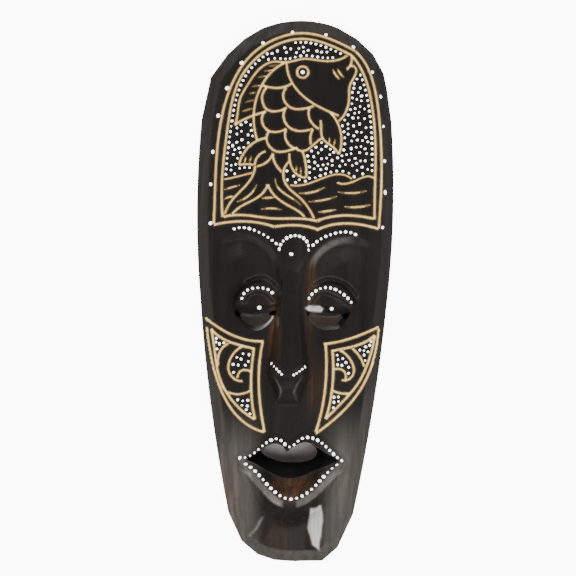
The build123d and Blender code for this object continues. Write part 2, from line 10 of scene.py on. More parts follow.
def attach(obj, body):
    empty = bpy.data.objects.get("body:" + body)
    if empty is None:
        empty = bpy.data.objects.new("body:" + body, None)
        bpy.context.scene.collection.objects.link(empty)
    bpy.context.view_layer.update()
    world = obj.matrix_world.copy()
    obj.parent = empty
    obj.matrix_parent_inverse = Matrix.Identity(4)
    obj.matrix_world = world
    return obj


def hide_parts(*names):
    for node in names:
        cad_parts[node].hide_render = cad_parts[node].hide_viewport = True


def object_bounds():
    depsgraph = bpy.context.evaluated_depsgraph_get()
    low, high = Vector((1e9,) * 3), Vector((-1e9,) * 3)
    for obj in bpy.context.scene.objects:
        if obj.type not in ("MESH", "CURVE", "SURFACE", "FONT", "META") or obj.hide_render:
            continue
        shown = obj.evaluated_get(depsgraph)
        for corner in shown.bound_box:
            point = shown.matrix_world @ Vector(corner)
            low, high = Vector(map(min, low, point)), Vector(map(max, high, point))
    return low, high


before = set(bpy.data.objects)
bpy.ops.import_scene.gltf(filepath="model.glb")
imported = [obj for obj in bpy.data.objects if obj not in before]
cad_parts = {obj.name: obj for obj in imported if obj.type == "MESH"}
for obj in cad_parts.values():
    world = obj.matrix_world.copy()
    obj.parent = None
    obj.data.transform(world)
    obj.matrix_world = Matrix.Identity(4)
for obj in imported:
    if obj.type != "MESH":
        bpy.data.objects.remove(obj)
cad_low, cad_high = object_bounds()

# The carved surface is worked out in millimetres: x to the right and z up as seen from the front,
# and h the height of the wood above the back plane, towards the viewer. Meshes are in metres.
MM = 0.001
SEED = 11

# the slab
CROWN_HEIGHT = 38
CROWN_RADIUS = 217
BROW_LINE = 50
FOREHEAD_LEAN = math.tan(math.radians(3.4))
BEVEL_WIDTH = 10.5
BEVEL_FALL = 7.5
RIM_WIDTH = 14
HOLLOW_WALL = 3             # run of the hollow's steep side
WOOD = 12                   # wood left between the front and the hollow
LEAST_WOOD = 5
SEAT_HEIGHT = 16.5          # flat patch in the hollow under the hanger
SEAT_HALF_SIZE = (17, 28)
SEAT_PLACE = (0, 204)
CHISEL_DEPTH = 0.9
CHISEL_RUN = 5.5            # a chisel cut in the hollow is pi times this wide

# the gouge lines
GROOVE_DEPTH = 1.3
GROOVE_REACH = 1.0          # the side of a groove runs down over this width
RIM_DROP = 0.4              # the painted shade in an opening starts this far below its rim
LOWEST_WALL = 2.5           # a wall taller than this belongs to an opening or to the outline
WALL_TILT = 0.1             # the y of a unit normal: smaller than this on a wall
FRONT_TILT = -0.3           # and below this on a face that looks to the front
WIDEST_HALF = 1.6           # half the width of the widest gouge line, with a little to spare
RIM_REACH = 3.0             # farther than this from every rim counts as plain wood
RIM_STEP = 1.1
NARROWER = 0.22             # the line that shows stands this far inside the rim of the CAD's cut
RIM_LINES = (0.22, 0.62, -0.2, 1.2, -0.95)  # lines of points beside each rim, positive into the groove

# spacing of the points of the carved surface
NEAREST = 0.42
FACE_GRID = 1.45
PANEL_GRID = 2.0
PANEL_GRID_FOOT = 58        # above this the panel's wider grid is used
BACK_GRID = 3.0
BACK_RIM_GRID = 1.3         # where the hollow meets the rim
OUTLINE_STEP = 1.6
SIDE_ROWS = 5
SHARP_DEGREES = 38          # a ridge sharper than this shows as an edge in the wood
DOT_SHARP_DEGREES = 60

# ------------------------------------------------------------------ drawn outlines of the relief (x, z)
SOCKETS = [
    [(-130, 30), (-76, 47), (-60, 51.5), (-50, 54), (-38, 51.5), (-27, 45.5), (-19, 38.5), (-14.5, 30),
     (-12, 16), (-11, 0), (-12, -20), (-20, -46), (-50, -62), (-80, -72), (-130, -60)],
    [(130, 30), (76, 45), (60, 50), (50, 51.5), (38, 49.5), (28, 44.5), (20, 37.5), (15, 30),
     (11, 16), (9.5, 0), (10, -20), (18, -46), (50, -62), (80, -72), (130, -60)],
]
LIDS = [
    [(-57, -15), (-50, 2), (-41, 8.5), (-32, 11), (-22, 9), (-15.5, 1), (-13, -9), (-15, -17),
     (-24, -20), (-35, -22), (-47, -20.5)],
    [(10, -15), (13, -3), (19, 6), (30, 10.5), (41, 9.5), (50, 4), (56, -4), (57, -12),
     (50, -19), (38, -22), (24, -21.5), (14, -19)],
]
LID_CREASES = [
    [(-46, -11), (-41, -4), (-34, -1.3), (-26, -3), (-19, -10)],
    [(-44, 8), (-34, 12.3), (-24, 11), (-15, 3)],
    [(16, -11), (21, -3.5), (28, -1), (37, -3.7), (45, -7.5), (52, -13)],
    [(18, 6.5), (29, 12), (41, 10.8), (51, 5), (58, -3)],
]
THIRD_EYE = [(-14.5, 35), (-12, 42.5), (-6, 48), (1, 50), (8, 47.5), (12, 41), (13, 35), (6.5, 22), (-3, 8),
             (-10.5, 22)]
# down the nose: z, height of the ridge, half width of its flat top, slope of its sides
NOSE = [
    (44, 33, 5, 1.5),
    (22, 38.2, 5.5, 1.6),
    (0, 42, 7.5, 1.9),
    (-30, 47.5, 9, 2.0),
    (-60, 53.5, 11.5, 2.0),
    (-77, 57, 13, 2.0),
    (-90, 50.5, 8, 1.5),
    (-100, 43, 9, 1.4),
    (-107, 36, 10, 1.4),
]
NOSE_MIDDLE = -3.5
NOSE_CROWN = 0.012          # how fast the top of the nose falls away from its middle
# the waist-shaped facet under the tip of the nose
WAIST_MIDDLE = (-4.5, -93)
WAIST_HALF_WIDTH = 6
WAIST_FLARE = 5             # it is this much wider on each side at WAIST_RUN above and below its middle
WAIST_RUN = 11
NOSTRIL_CREASES = [[(-22, -63), (-16, -69), (-8, -75)], [(14, -66), (8, -70.5), (0, -75.5)]]
MOUTH = [(-53, -155.5), (-44, -148.5), (-35, -145), (-27, -137.5), (-20, -133), (-12, -131.8), (-3, -138.5),
         (8, -131.5), (17, -130.5), (27, -134), (37, -142), (45, -149.5), (52, -156.5), (46, -167),
         (38, -182), (30, -193), (20, -203.5), (8, -210), (-4, -213), (-14, -210), (-23, -204),
         (-31, -192), (-38, -178), (-44, -166)]
MOUTH_RIDGE = [(-46, -156.5), (-33, -150.5), (-24, -142), (-14, -138.5), (-3, -145.5), (8, -138.5),
               (17, -137), (28, -142), (38, -149.5), (45, -156.5), (34, -167.5), (20, -182),
               (8, -190.3), (-3, -192.3), (-13, -188), (-24, -177), (-35, -165.5)]
# each opening: its rim on the front, then the narrower loop where it comes out at the back
OPENINGS = [
    ([(-55, -18.5), (-50, -29), (-42, -35.5), (-33, -37), (-25, -33), (-18, -24), (-16.5, -18), (-24, -20.3),
      (-35, -22.3), (-47, -21)],
     [(-49, -23), (-46.5, -28), (-41, -31.5), (-34, -32.6), (-27, -31), (-22, -27), (-20, -22.5), (-26, -23),
      (-35, -23.5), (-44, -23)]),
    ([(12, -18.5), (16, -28), (24, -34), (32, -35.5), (42, -33.5), (48, -27), (52, -18.5), (41, -22),
      (30, -22.5), (20, -21.3)],
     [(15, -22), (17, -27), (22, -31.5), (29, -33), (36, -31.5), (42, -27.5), (45, -22.5), (38, -23.5),
      (30, -24), (21, -23)]),
    ([(-42, -154.5), (-30, -148), (-22, -142), (-14, -140.3), (-8, -143), (-4, -148), (0, -144), (8, -139.8),
      (14, -138.8), (22, -142), (32, -149), (43, -155), (35, -159.5), (22, -164.5), (10, -170), (0, -172.3),
      (-10, -171), (-22, -165.5), (-33, -159.5)],
     [(-27, -150), (-26, -147), (-20, -142.5), (-14, -141.2), (-8, -143.8), (-4, -148.6), (0, -144.8),
      (8, -140.6), (14, -139.6), (20, -142), (23, -146), (23.5, -150.5), (19, -155), (13, -157),
      (6, -158), (-1, -158.2), (-8, -157.8), (-15, -156), (-22, -153.5)]),
]
# the scoop under the lower lip: a place (x, z), the height there, and how it rises along x and z
CHIN_FACETS = [
    ((0, -205), 29, (0, 0.12)),
    ((17, -205), 29, (0.6, 0.06)),
    ((-12, -211), 28.4, (-0.511, 0.425)),
]
# a painted highlight line along the ridge at the left of the chin
CHIN_RIDGE = [(-26, -209), (-30, -217), (-37, -226)]
# facets that the light catches full on, painted as highlights in the wood's colour
CHIN_LIGHT = [(17, -199), (29, -195), (31.5, -212), (27, -239), (19, -235), (15.5, -218)]
LID_LIGHT = [(8.5, -15.5), (14, -12.2), (24, -12.3), (29, -15.5), (26, -20), (14, -19.5)]
LIP_RISE = 8.5
UPPER_LIP_RISE = 3
LIP_STRIP = 8               # width of the upper of the two bevels round the lower lip
CHIN_TOP = -196             # the scoop under the lip starts here
CHIN_FULL = -203            # and has its full depth from here down

# where the CAD body has gouge lines: above the brow, and on the cheeks outside the eye openings
PANEL_FOOT = 56
CHEEK_TOP = -20
CHEEK_FOOT = -135
CHEEK_INNER = 20
EYE_OUTER = 56
EYE_FOOT = -39.5


# ------------------------------------------------------------------ small mathematics
def smooth(t):
    """0 to 1 with level ends."""
    t = np.clip(t, 0, 1)
    return t * t * (3 - 2 * t)


def ramp(value, start, end):
    return smooth((value - start) / (end - start))


def bump(value, start, top, end):
    """Rises from start to top and falls again to end."""
    return ramp(value, start, top) * ramp(value, end, top)


def curve_through(points, closed=True, steps=8):
    """A smooth curve through a few points (Catmull-Rom)."""
    p = np.array(points, float)
    if closed:
        p = np.vstack([p[-1], p, p[0], p[1]])
    else:
        p = np.vstack([2 * p[0] - p[1], p, 2 * p[-1] - p[-2]])
    t = np.linspace(0, 1, steps, endpoint=False)[:, None]
    out = []
    for a, b, c, d in zip(p[:-3], p[1:-2], p[2:-1], p[3:]):
        square = (2 * a - 5 * b + 4 * c - d) * t**2
        cube = (3 * b - a - 3 * c + d) * t**3
        out.append(0.5 * (2 * b + (c - a) * t + square + cube))
    curve = np.vstack(out)
    return curve if closed else np.vstack([curve, p[-2]])


def spaced(curve, step):
    """A closed curve as evenly spaced places."""
    ring = np.vstack([curve, curve[0]])
    run = np.concatenate([[0], np.cumsum(np.hypot(*np.diff(ring, axis=0).T))])
    places = np.linspace(0, run[-1], max(8, round(run[-1] / step)), endpoint=False)
    return np.column_stack([np.interp(places, run, ring[:, 0]), np.interp(places, run, ring[:, 1])])


def line_distance(x, z, curve, closed):
    """Distance of each place to a curve of short straight steps."""
    ends = np.roll(curve, -1, axis=0) if closed else curve[1:]
    starts = curve if closed else curve[:-1]
    best = np.full(x.shape, 1e9)
    for a, b in zip(starts, ends):
        way = b - a
        along = np.clip(((x - a[0]) * way[0] + (z - a[1]) * way[1]) / max(way @ way, 1e-9), 0, 1)
        best = np.minimum(best, np.hypot(x - a[0] - along * way[0], z - a[1] - along * way[1]))
    return best


def is_inside(x, z, curve):
    inside = np.zeros(x.shape, bool)
    for a, b in zip(curve, np.roll(curve, -1, axis=0)):
        if a[1] != b[1]:
            crosses = (a[1] > z) != (b[1] > z)
            inside ^= crosses & (x < (b[0] - a[0]) * (z - a[1]) / (b[1] - a[1]) + a[0])
    return inside


def depth_inside(x, z, curve):
    """Distance to a closed curve: positive inside it and negative outside."""
    distance = line_distance(x, z, curve, True)
    return np.where(is_inside(x, z, curve), distance, -distance)


def swell(x, z, size_x, size_z, seed):
    """Smooth random swell between -1 and 1, the same on each run."""
    lattice = np.random.default_rng(SEED + seed).uniform(-1, 1, (64, 64))
    u = x / size_x + 1000
    v = z / size_z + 1000
    i = np.floor(u).astype(int)
    j = np.floor(v).astype(int)
    s = smooth(u - i)
    t = smooth(v - j)
    low = lattice[i % 64, j % 64] * (1 - s) + lattice[(i + 1) % 64, j % 64] * s
    high = lattice[i % 64, (j + 1) % 64] * (1 - s) + lattice[(i + 1) % 64, (j + 1) % 64] * s
    return low * (1 - t) + high * t


# ------------------------------------------------------------------ what the CAD body tells
def chained(edges):
    """The widest closed chain of point pairs, as an ordered list of places."""
    links = {}
    for a, b in edges:
        links.setdefault(a, []).append(b)
        links.setdefault(b, []).append(a)
    widest = np.zeros((1, 2))
    left = set(links)
    while left:
        chain = [min(left)]
        left.discard(chain[0])
        while True:
            onward = [n for n in links[chain[-1]] if n in left]
            if not onward:
                break
            chain.append(onward[0])
            left.discard(onward[0])
        chain = np.array(chain)
        if np.ptp(chain[:, 0]) > np.ptp(widest[:, 0]):
            widest = chain
    return widest


def read_body():
    """The outline of the CAD mask, and the rims of its gouge lines: start, end, way into the groove."""
    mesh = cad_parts["mask_body"].data
    keys = [tuple(p) for p in np.round(np.array([v.co for v in mesh.vertices]) / MM, 3).tolist()]
    sides = {}
    for face in mesh.polygons:
        corners = [keys[i] for i in face.vertices]
        for a, b in zip(corners, corners[1:] + corners[:1]):
            sides.setdefault((min(a, b), max(a, b)), []).append((face.normal.copy(), face.area / MM**2))
    back = []
    rims = []
    for (a, b), faces in sides.items():
        if len(faces) != 2:
            continue
        walls = [f for f in faces if abs(f[0].y) < WALL_TILT]
        length = math.dist(a, b)
        if len(walls) != 1 or length < 0.001:
            continue
        if max(abs(a[1]), abs(b[1])) < 0.01:
            back.append(((a[0], a[2]), (b[0], b[2])))
            continue
        x = (a[0] + b[0]) / 2
        z = (a[2] + b[2]) / 2
        normal, area = walls[0]
        cheek = CHEEK_FOOT < z < CHEEK_TOP and abs(x) > CHEEK_INNER
        eye_opening = abs(x) < EYE_OUTER and z > EYE_FOOT
        carved = z > PANEL_FOOT or (cheek and not eye_opening)
        other = faces[0] if faces[1] is walls[0] else faces[1]
        if carved and other[0].y < FRONT_TILT and 2 * area / length < LOWEST_WALL:
            rims.append((a[0], a[2], b[0], b[2], normal.x, normal.z))
    return chained(back), np.array(rims)


def islands(node):
    """Middle and radius (x, z) of each separate solid of a CAD node."""
    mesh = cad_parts[node].data
    places = np.array([v.co for v in mesh.vertices]) / MM
    keys = [tuple(p) for p in np.round(places, 3).tolist()]
    number = {}
    group = [number.setdefault(key, len(number)) for key in keys]
    root = list(range(len(number)))

    def top(i):
        while root[i] != i:
            root[i] = root[root[i]]
            i = root[i]
        return i

    for edge in mesh.edges:
        root[top(group[edge.vertices[0]])] = top(group[edge.vertices[1]])
    members = {}
    for place, one in zip(places, group):
        members.setdefault(top(one), []).append(place)
    out = []
    for points in members.values():
        points = np.array(points)
        middle = (points.min(axis=0) + points.max(axis=0)) / 2
        out.append((middle[0], middle[2], (points[:, 2].max() - points[:, 2].min()) / 2))
    return sorted(out)


# ------------------------------------------------------------------ the carved surface
def slab(x, z):
    """Height of the crowned slab, leaning back above the brow."""
    crown = CROWN_HEIGHT - CROWN_RADIUS + np.sqrt(CROWN_RADIUS**2 - x**2)
    return crown - np.maximum(z - BROW_LINE, 0) * FOREHEAD_LEAN


def carve_edge(h, x, z, inward):
    """The knife-cut bevel round the outline; its width wanders a little."""
    width = BEVEL_WIDTH + 1.6 * swell(x, z, 60, 34, 1)
    return h - BEVEL_FALL * np.clip(1 - inward / width, 0, 1)


def carve_sockets(h, x, z):
    """The brow bevel and the hollow of each eye, fading out over the temples and the cheeks."""
    for points in SOCKETS:
        depth = depth_inside(x, z, curve_through(points))
        fade = ramp(np.abs(x), 77, 42) * ramp(z, -60, -8)
        fall = 6.2 * np.clip(depth / 6.5, 0, 1) + 3.6 * smooth((depth - 6) / 20)
        h = h - fall * fade
    return h


def raise_bridge(h, x, z):
    """The swelling between the brows that holds the arch of dots."""
    inside = depth_inside(x, z, curve_through(THIRD_EYE))
    return h + 1.8 * smooth(inside / 2) * ramp(z, 2, 32)


def raise_nose(h, x, z):
    heights = np.array(NOSE[::-1], float).T
    ridge, half, slope = (np.interp(z, heights[0], row) for row in heights[1:])
    across = np.abs(x - NOSE_MIDDLE)
    nose = ridge - slope * np.maximum(across - half, 0) - NOSE_CROWN * across**2
    reached = (z > heights[0][0]) & (z < heights[0][-1])
    return np.where(reached, np.maximum(h, nose), h)


def inside_waist(x, z):
    """How far a place lies inside the facet under the tip of the nose: negative outside it."""
    flare = WAIST_FLARE * (np.abs(z - WAIST_MIDDLE[1]) / WAIST_RUN) ** 1.5
    return WAIST_HALF_WIDTH + flare - np.abs(x - WAIST_MIDDLE[0])


def carve_nostrils(h, x, z):
    for points in NOSTRIL_CREASES:
        distance = line_distance(x, z, curve_through(points, False), False)
        h = h - 1.5 * np.exp(-((distance / 1.3) ** 2))
    # the facet under the tip, between two ridges that catch the light
    inside = inside_waist(x, z)
    facet = bump(z, -76, -84, -106)
    sunk = 2.4 * facet * smooth(inside / 2.5)
    ridges = 0.8 * facet * np.exp(-((inside / 1.4) ** 2))
    return h - sunk + ridges


def raise_lids(h, x, z):
    """Each lid is a rounded almond whose lower band turns down towards the opening."""
    for points, middle in zip(LIDS, (-35, 33)):
        inside = depth_inside(x, z, curve_through(points))
        lid = 36 - 6 * ((x - middle) / 26) ** 2 - 7 * (np.maximum(z + 12, 0) / 22) ** 2
        lid = lid - 1.15 * np.maximum(-13 - z, 0)
        h = h + (np.maximum(lid - h, 0) + 0.6) * smooth(inside / 3.2)
    for points in LID_CREASES:
        curve = curve_through(points, False)
        distance = line_distance(x, z, curve, False)
        h = h - 1.1 * np.exp(-((distance / 0.8) ** 2)) + 0.5 * np.exp(-(((distance - 2) / 0.9) ** 2))
    return h


def carve_chin(h, x, z):
    """The wood under the lower lip is scooped out in three flat cuts that meet in valleys."""
    scoop = np.full(x.shape, -1e9)
    for (x0, z0), height, (along_x, along_z) in CHIN_FACETS:
        scoop = np.maximum(scoop, height + along_x * (x - x0) + along_z * (z - z0))
    below = ramp(z, CHIN_TOP, CHIN_FULL)
    return np.where(z < CHIN_TOP, h + (np.minimum(h, scoop) - h) * below, h)


def raise_mouth(h, x, z):
    """Two lips that rise to the ridge under the dots and fall inside it to the opening."""
    base = slab(x, z)
    lips = depth_inside(x, z, curve_through(MOUTH))
    ridge = depth_inside(x, z, curve_through(MOUTH_RIDGE))
    opening = depth_inside(x, z, curve_through(OPENINGS[2][0]))
    lower = ramp(z, -150, -166)
    rise = UPPER_LIP_RISE + (LIP_RISE - UPPER_LIP_RISE) * lower
    # outside the ridge: a broad strip, then a steeper facet down to the wood round the lip
    width = np.maximum(lips - ridge, 0.5)
    strip_width = np.minimum(LIP_STRIP, 0.5 * width)
    strip = np.clip(-ridge / strip_width, 0, 1)
    rest = np.clip((-ridge - strip_width) / np.maximum(width - strip_width, 0.5), 0, 1)
    shoulder = base + rise * (1 - 0.4 * strip)
    outside = shoulder + (h - 1 * lower - shoulder) * rest
    reach = np.clip(ridge / np.maximum(ridge - opening, 0.5), 0, 1)
    inside = base + rise - (1.5 + 9 * lower) * smooth(reach)
    moat = 1.6 * np.exp(-((lips / 4) ** 2)) * lower
    return np.where(ridge > 0, inside, np.where(lips > 0, outside, h - moat))


def sculpt(x, z, inward, groove):
    """Height of the wood over the back plane, given the distances to the outline and into a groove."""
    h = carve_sockets(slab(x, z), x, z)
    h = raise_bridge(h, x, z)
    h = raise_lids(h, x, z)
    h = raise_nose(h, x, z)
    h = carve_nostrils(h, x, z)
    h = carve_chin(h, x, z)
    h = raise_mouth(h, x, z)
    h = carve_edge(h, x, z, inward)
    h = h + 0.22 * swell(x, z, 9, 46, 2) + 0.1 * swell(x, z, 4, 15, 3)
    return h - GROOVE_DEPTH * smooth((groove + 0.15) / GROOVE_REACH)


# ------------------------------------------------------------------ points and triangles
def kept_apart(points, others, gap):
    """The points that stand at least a gap away from the others."""
    tree = kdtree.KDTree(len(others))
    for i, (x, z) in enumerate(others):
        tree.insert((x, z, 0), i)
    tree.balance()
    return np.array([p for p in points.tolist() if tree.find((*p, 0))[2] >= gap])


def thinned(points, gap):
    """Points in their order, leaving out each that is closer than the gap to one already taken."""
    taken = {}
    out = []
    for x, z in points:
        i = int(x // gap)
        j = int(z // gap)
        near = [p for a in (-1, 0, 1) for b in (-1, 0, 1) for p in taken.get((i + a, j + b), ())]
        if all((x - p[0]) ** 2 + (z - p[1]) ** 2 >= gap * gap for p in near):
            taken.setdefault((i, j), []).append((x, z))
            out.append((x, z))
    return np.array(out)


def within(points, outline, holes):
    """The points inside the outline and outside the holes."""
    x, z = points.T
    wanted = is_inside(x, z, outline)
    for hole in holes:
        wanted &= ~is_inside(x, z, hole)
    return points[wanted]


def hex_grid(step, low, high):
    rows = np.arange(low[1], high[1], step * math.sqrt(0.75))
    places = []
    for number, z in enumerate(rows):
        x = np.arange(low[0], high[0], step) + (step / 2 if number % 2 else 0)
        places.append(np.column_stack([x, np.full(len(x), z)]))
    return np.vstack(places)


def triangles(points, loops, outline, holes):
    """Delaunay triangles that keep the loops' edges, inside the outline and outside the holes."""
    fences = set()
    for start, count in loops:
        fences |= {(start + i, start + (i + 1) % count) for i in range(count)}
    found = delaunay_2d_cdt([Vector(p) for p in points.tolist()], list(fences), [], 0, 1e-6)
    assert len(found[0]) == len(points)
    faces = np.array(found[2])
    middle = points[faces].mean(axis=1)
    inside = is_inside(middle[:, 0], middle[:, 1], outline)
    for hole in holes:
        inside &= ~is_inside(middle[:, 0], middle[:, 1], hole)
    a, b, c = (points[faces[:, i]] for i in range(3))
    area = np.abs((b[:, 0] - a[:, 0]) * (c[:, 1] - a[:, 1]) - (b[:, 1] - a[:, 1]) * (c[:, 0] - a[:, 0]))
    # points in a straight line make slivers that no test of place can sort, so the wanted triangles are
    # those reached from the largest one inside without crossing a loop
    fences |= {(j, i) for i, j in fences}
    beside = {}
    for number, (i, j, k) in enumerate(faces.tolist()):
        for edge in ((i, j), (j, k), (k, i)):
            beside.setdefault((min(edge), max(edge)), []).append(number)
    first = int(np.argmax(np.where(inside, area, 0)))
    reached = {first}
    queue = [first]
    while queue:
        i, j, k = faces[queue.pop()].tolist()
        for edge in ((i, j), (j, k), (k, i)):
            if edge in fences:
                continue
            for other in beside[(min(edge), max(edge))]:
                if other not in reached:
                    reached.add(other)
                    queue.append(other)
    return faces[sorted(reached)]


class Grooves:
    """How far into a gouge line a place lies, from the rims of the CAD body."""

    def __init__(self, rims):
        samples = []
        for x0, z0, x1, z1, way_x, way_z in rims:
            count = max(1, math.ceil(math.hypot(x1 - x0, z1 - z0) / 0.3))
            for i in range(count + 1):
                t = i / count
                samples.append((x0 + t * (x1 - x0), z0 + t * (z1 - z0), way_x, way_z))
        self.samples = np.array(samples)
        self.tree = kdtree.KDTree(len(samples))
        for i, sample in enumerate(samples):
            self.tree.insert((sample[0], sample[1], 0), i)
        self.tree.balance()

    def depth(self, x, z):
        found = [self.tree.find((a, b, 0)) for a, b in zip(x.tolist(), z.tolist())]
        index = np.array([f[1] for f in found])
        distance = np.array([f[2] for f in found])
        near = self.samples[index]
        across = (x - near[:, 0]) * near[:, 2] + (z - near[:, 1]) * near[:, 3]
        # past the end of a stroke the nearest sample is a corner, and the place lies almost along its rim
        inside = (across > 0.5 * distance) & (distance < WIDEST_HALF)
        signed = np.where(inside, distance, -distance)
        return np.where(distance < RIM_REACH, signed, -RIM_REACH) - NARROWER


def rim_points(rims):
    lines = []
    for offset in RIM_LINES:
        for x0, z0, x1, z1, way_x, way_z in rims:
            count = max(1, round(math.hypot(x1 - x0, z1 - z0) / RIM_STEP))
            for i in range(count):
                t = (i + 0.5) / count
                lines.append((x0 + t * (x1 - x0) + offset * way_x, z0 + t * (z1 - z0) + offset * way_z))
    return thinned(lines, NEAREST)


# ------------------------------------------------------------------ colour masks over the wood
# rubbed places: strength, then where each starts, is full and ends across the mask and up it
RUBBED = {
    "nose_left": (1, (-27, -17, -9), (-95, -30, 8)),
    "nose_right": (1, (7, 16, 27), (-80, 0, 44)),
    "cheek_right": (0.8, (9, 21, 33), (-125, -85, -50)),
    "lower_lip": (1.3, (-28, 2, 34), (-202, -182, -160)),
    "jaw": (1.1, (-76, -58, -38), (-236, -190, -140)),
    "chin": (0.3, (-34, -8, 20), (-262, -228, -200)),
}
MOST_WORN = 1.3


def worn(x, z):
    """Where the stain is rubbed through to red-brown; on the lower lip only as far as the lip reaches."""
    lip = depth_inside(x, z, curve_through(MOUTH_RIDGE)) > -4
    total = np.zeros(x.shape)
    for name, (strength, across, up) in RUBBED.items():
        place = strength * bump(x, *across) * bump(z, *up)
        total = total + (place * lip if name == "lower_lip" else place)
    return np.clip(total, 0, MOST_WORN)


def greyed(x, z, inward):
    """Painted sheen and highlights where light would shine off the satin stain: up to 1 the colour turns
    grey, and from 1 to 2 it turns nearly white.
    """
    share = 0.12 + 0.06 * ramp(x, -20, -70) + 0.25 * ramp(z, -30, -170) + 0.2 * ramp(z, 195, 240)
    edge = share * ramp(inward, BEVEL_WIDTH + 0.6, BEVEL_WIDTH - 1)
    cheeks = (0.5 + 0.1 * ramp(x, 0, -40)) * ramp(z, -100, -165) * ramp(np.abs(x), 22, 46)
    brow = 0
    for points, share in zip(SOCKETS, (0.12, 0.68)):
        depth = depth_inside(x, z, curve_through(points))
        band = ramp(depth, 0.4, 1.8) * ramp(depth, 7.5, 5.2)
        brow = brow + share * band * ramp(z, 18, 34) * ramp(np.abs(x), 59, 40)
    ridge = depth_inside(x, z, curve_through(MOUTH_RIDGE))
    strip = ramp(ridge, -LIP_STRIP, 1.2 - LIP_STRIP) * ramp(ridge, -0.8, -2)
    strip = strip * ramp(z, -162, -169) * ramp(np.abs(x + 1), 5, 8)
    strip = strip * (0.62 + 0.5 * ramp(z, -176, -200) * (x < 0))
    facet = depth_inside(x, z, np.array(CHIN_LIGHT, float)) + 1.3 * swell(x, z, 3, 12, 9)
    facet = 1.7 * smooth(facet / 2)
    chin_line = line_distance(x + 0.8 * swell(x, z, 3, 4, 8), z, np.array(CHIN_RIDGE, float), False)
    chin_ridge = 0.75 * np.exp(-((chin_line / 0.9) ** 2))
    nose_foot = 0.7 * np.exp(-((inside_waist(x, z) / 0.7) ** 2)) * bump(z, -76, -88, -105)
    lid = 1.9 * smooth(depth_inside(x, z, np.array(LID_LIGHT, float)) / 1.6)
    for points in LID_CREASES:
        away = line_distance(x, z, curve_through(points, False), False)
        lid = lid + 0.2 * np.exp(-(((away - 1.7) / 0.7) ** 2))
    return np.clip(np.maximum(edge, cheeks) + brow + strip + facet + chin_ridge + nose_foot + lid, 0, 2)


# ------------------------------------------------------------------ the visible carving
def mesh_object(name, places, faces, masks, sharp_degrees):
    """A mesh of places in millimetres (x, h, z), with float attributes on its points."""
    mesh = bpy.data.meshes.new(name)
    coords = np.column_stack([places[:, 0], -places[:, 1], places[:, 2]]) * MM
    mesh.from_pydata(coords.tolist(), [], faces)
    for key, values in masks.items():
        layer = mesh.attributes.new(key, "FLOAT", "POINT")
        layer.data.foreach_set("value", np.asarray(values, np.float32))
    shape = bmesh.new()
    shape.from_mesh(mesh)
    bmesh.ops.recalc_face_normals(shape, faces=shape.faces)
    shape.to_mesh(mesh)
    shape.free()
    mesh.polygons.foreach_set("use_smooth", [True] * len(mesh.polygons))
    mesh.set_sharp_from_angle(angle=math.radians(sharp_degrees))
    mesh.update()
    made = bpy.data.objects.new(name, mesh)
    bpy.context.scene.collection.objects.link(made)
    return made


def back_height(x, z, front, inward):
    """The back: a flat rim, then the hollow with its chisel marks and the hanger's flat seat."""
    floor = np.maximum(np.minimum(front - LEAST_WOOD, slab(x, z) - WOOD), 3)
    seat_x = SEAT_HALF_SIZE[0] - np.abs(x - SEAT_PLACE[0])
    seat_z = SEAT_HALF_SIZE[1] - np.abs(z - SEAT_PLACE[1])
    seat = smooth((np.minimum(seat_x, seat_z) + 2) / 2)
    run = x / CHISEL_RUN + 1.6 * swell(x, z, 30, 60, 5)
    strength = 0.5 + 0.5 * swell(x, z, 14, 22, 6)
    floor = floor - CHISEL_DEPTH * np.abs(np.sin(run)) * strength
    floor = floor + (np.minimum(floor, SEAT_HEIGHT) - floor) * seat
    floor = np.where(seat > 0.99, SEAT_HEIGHT, floor)
    return floor * smooth((inward - RIM_WIDTH) / HOLLOW_WALL)


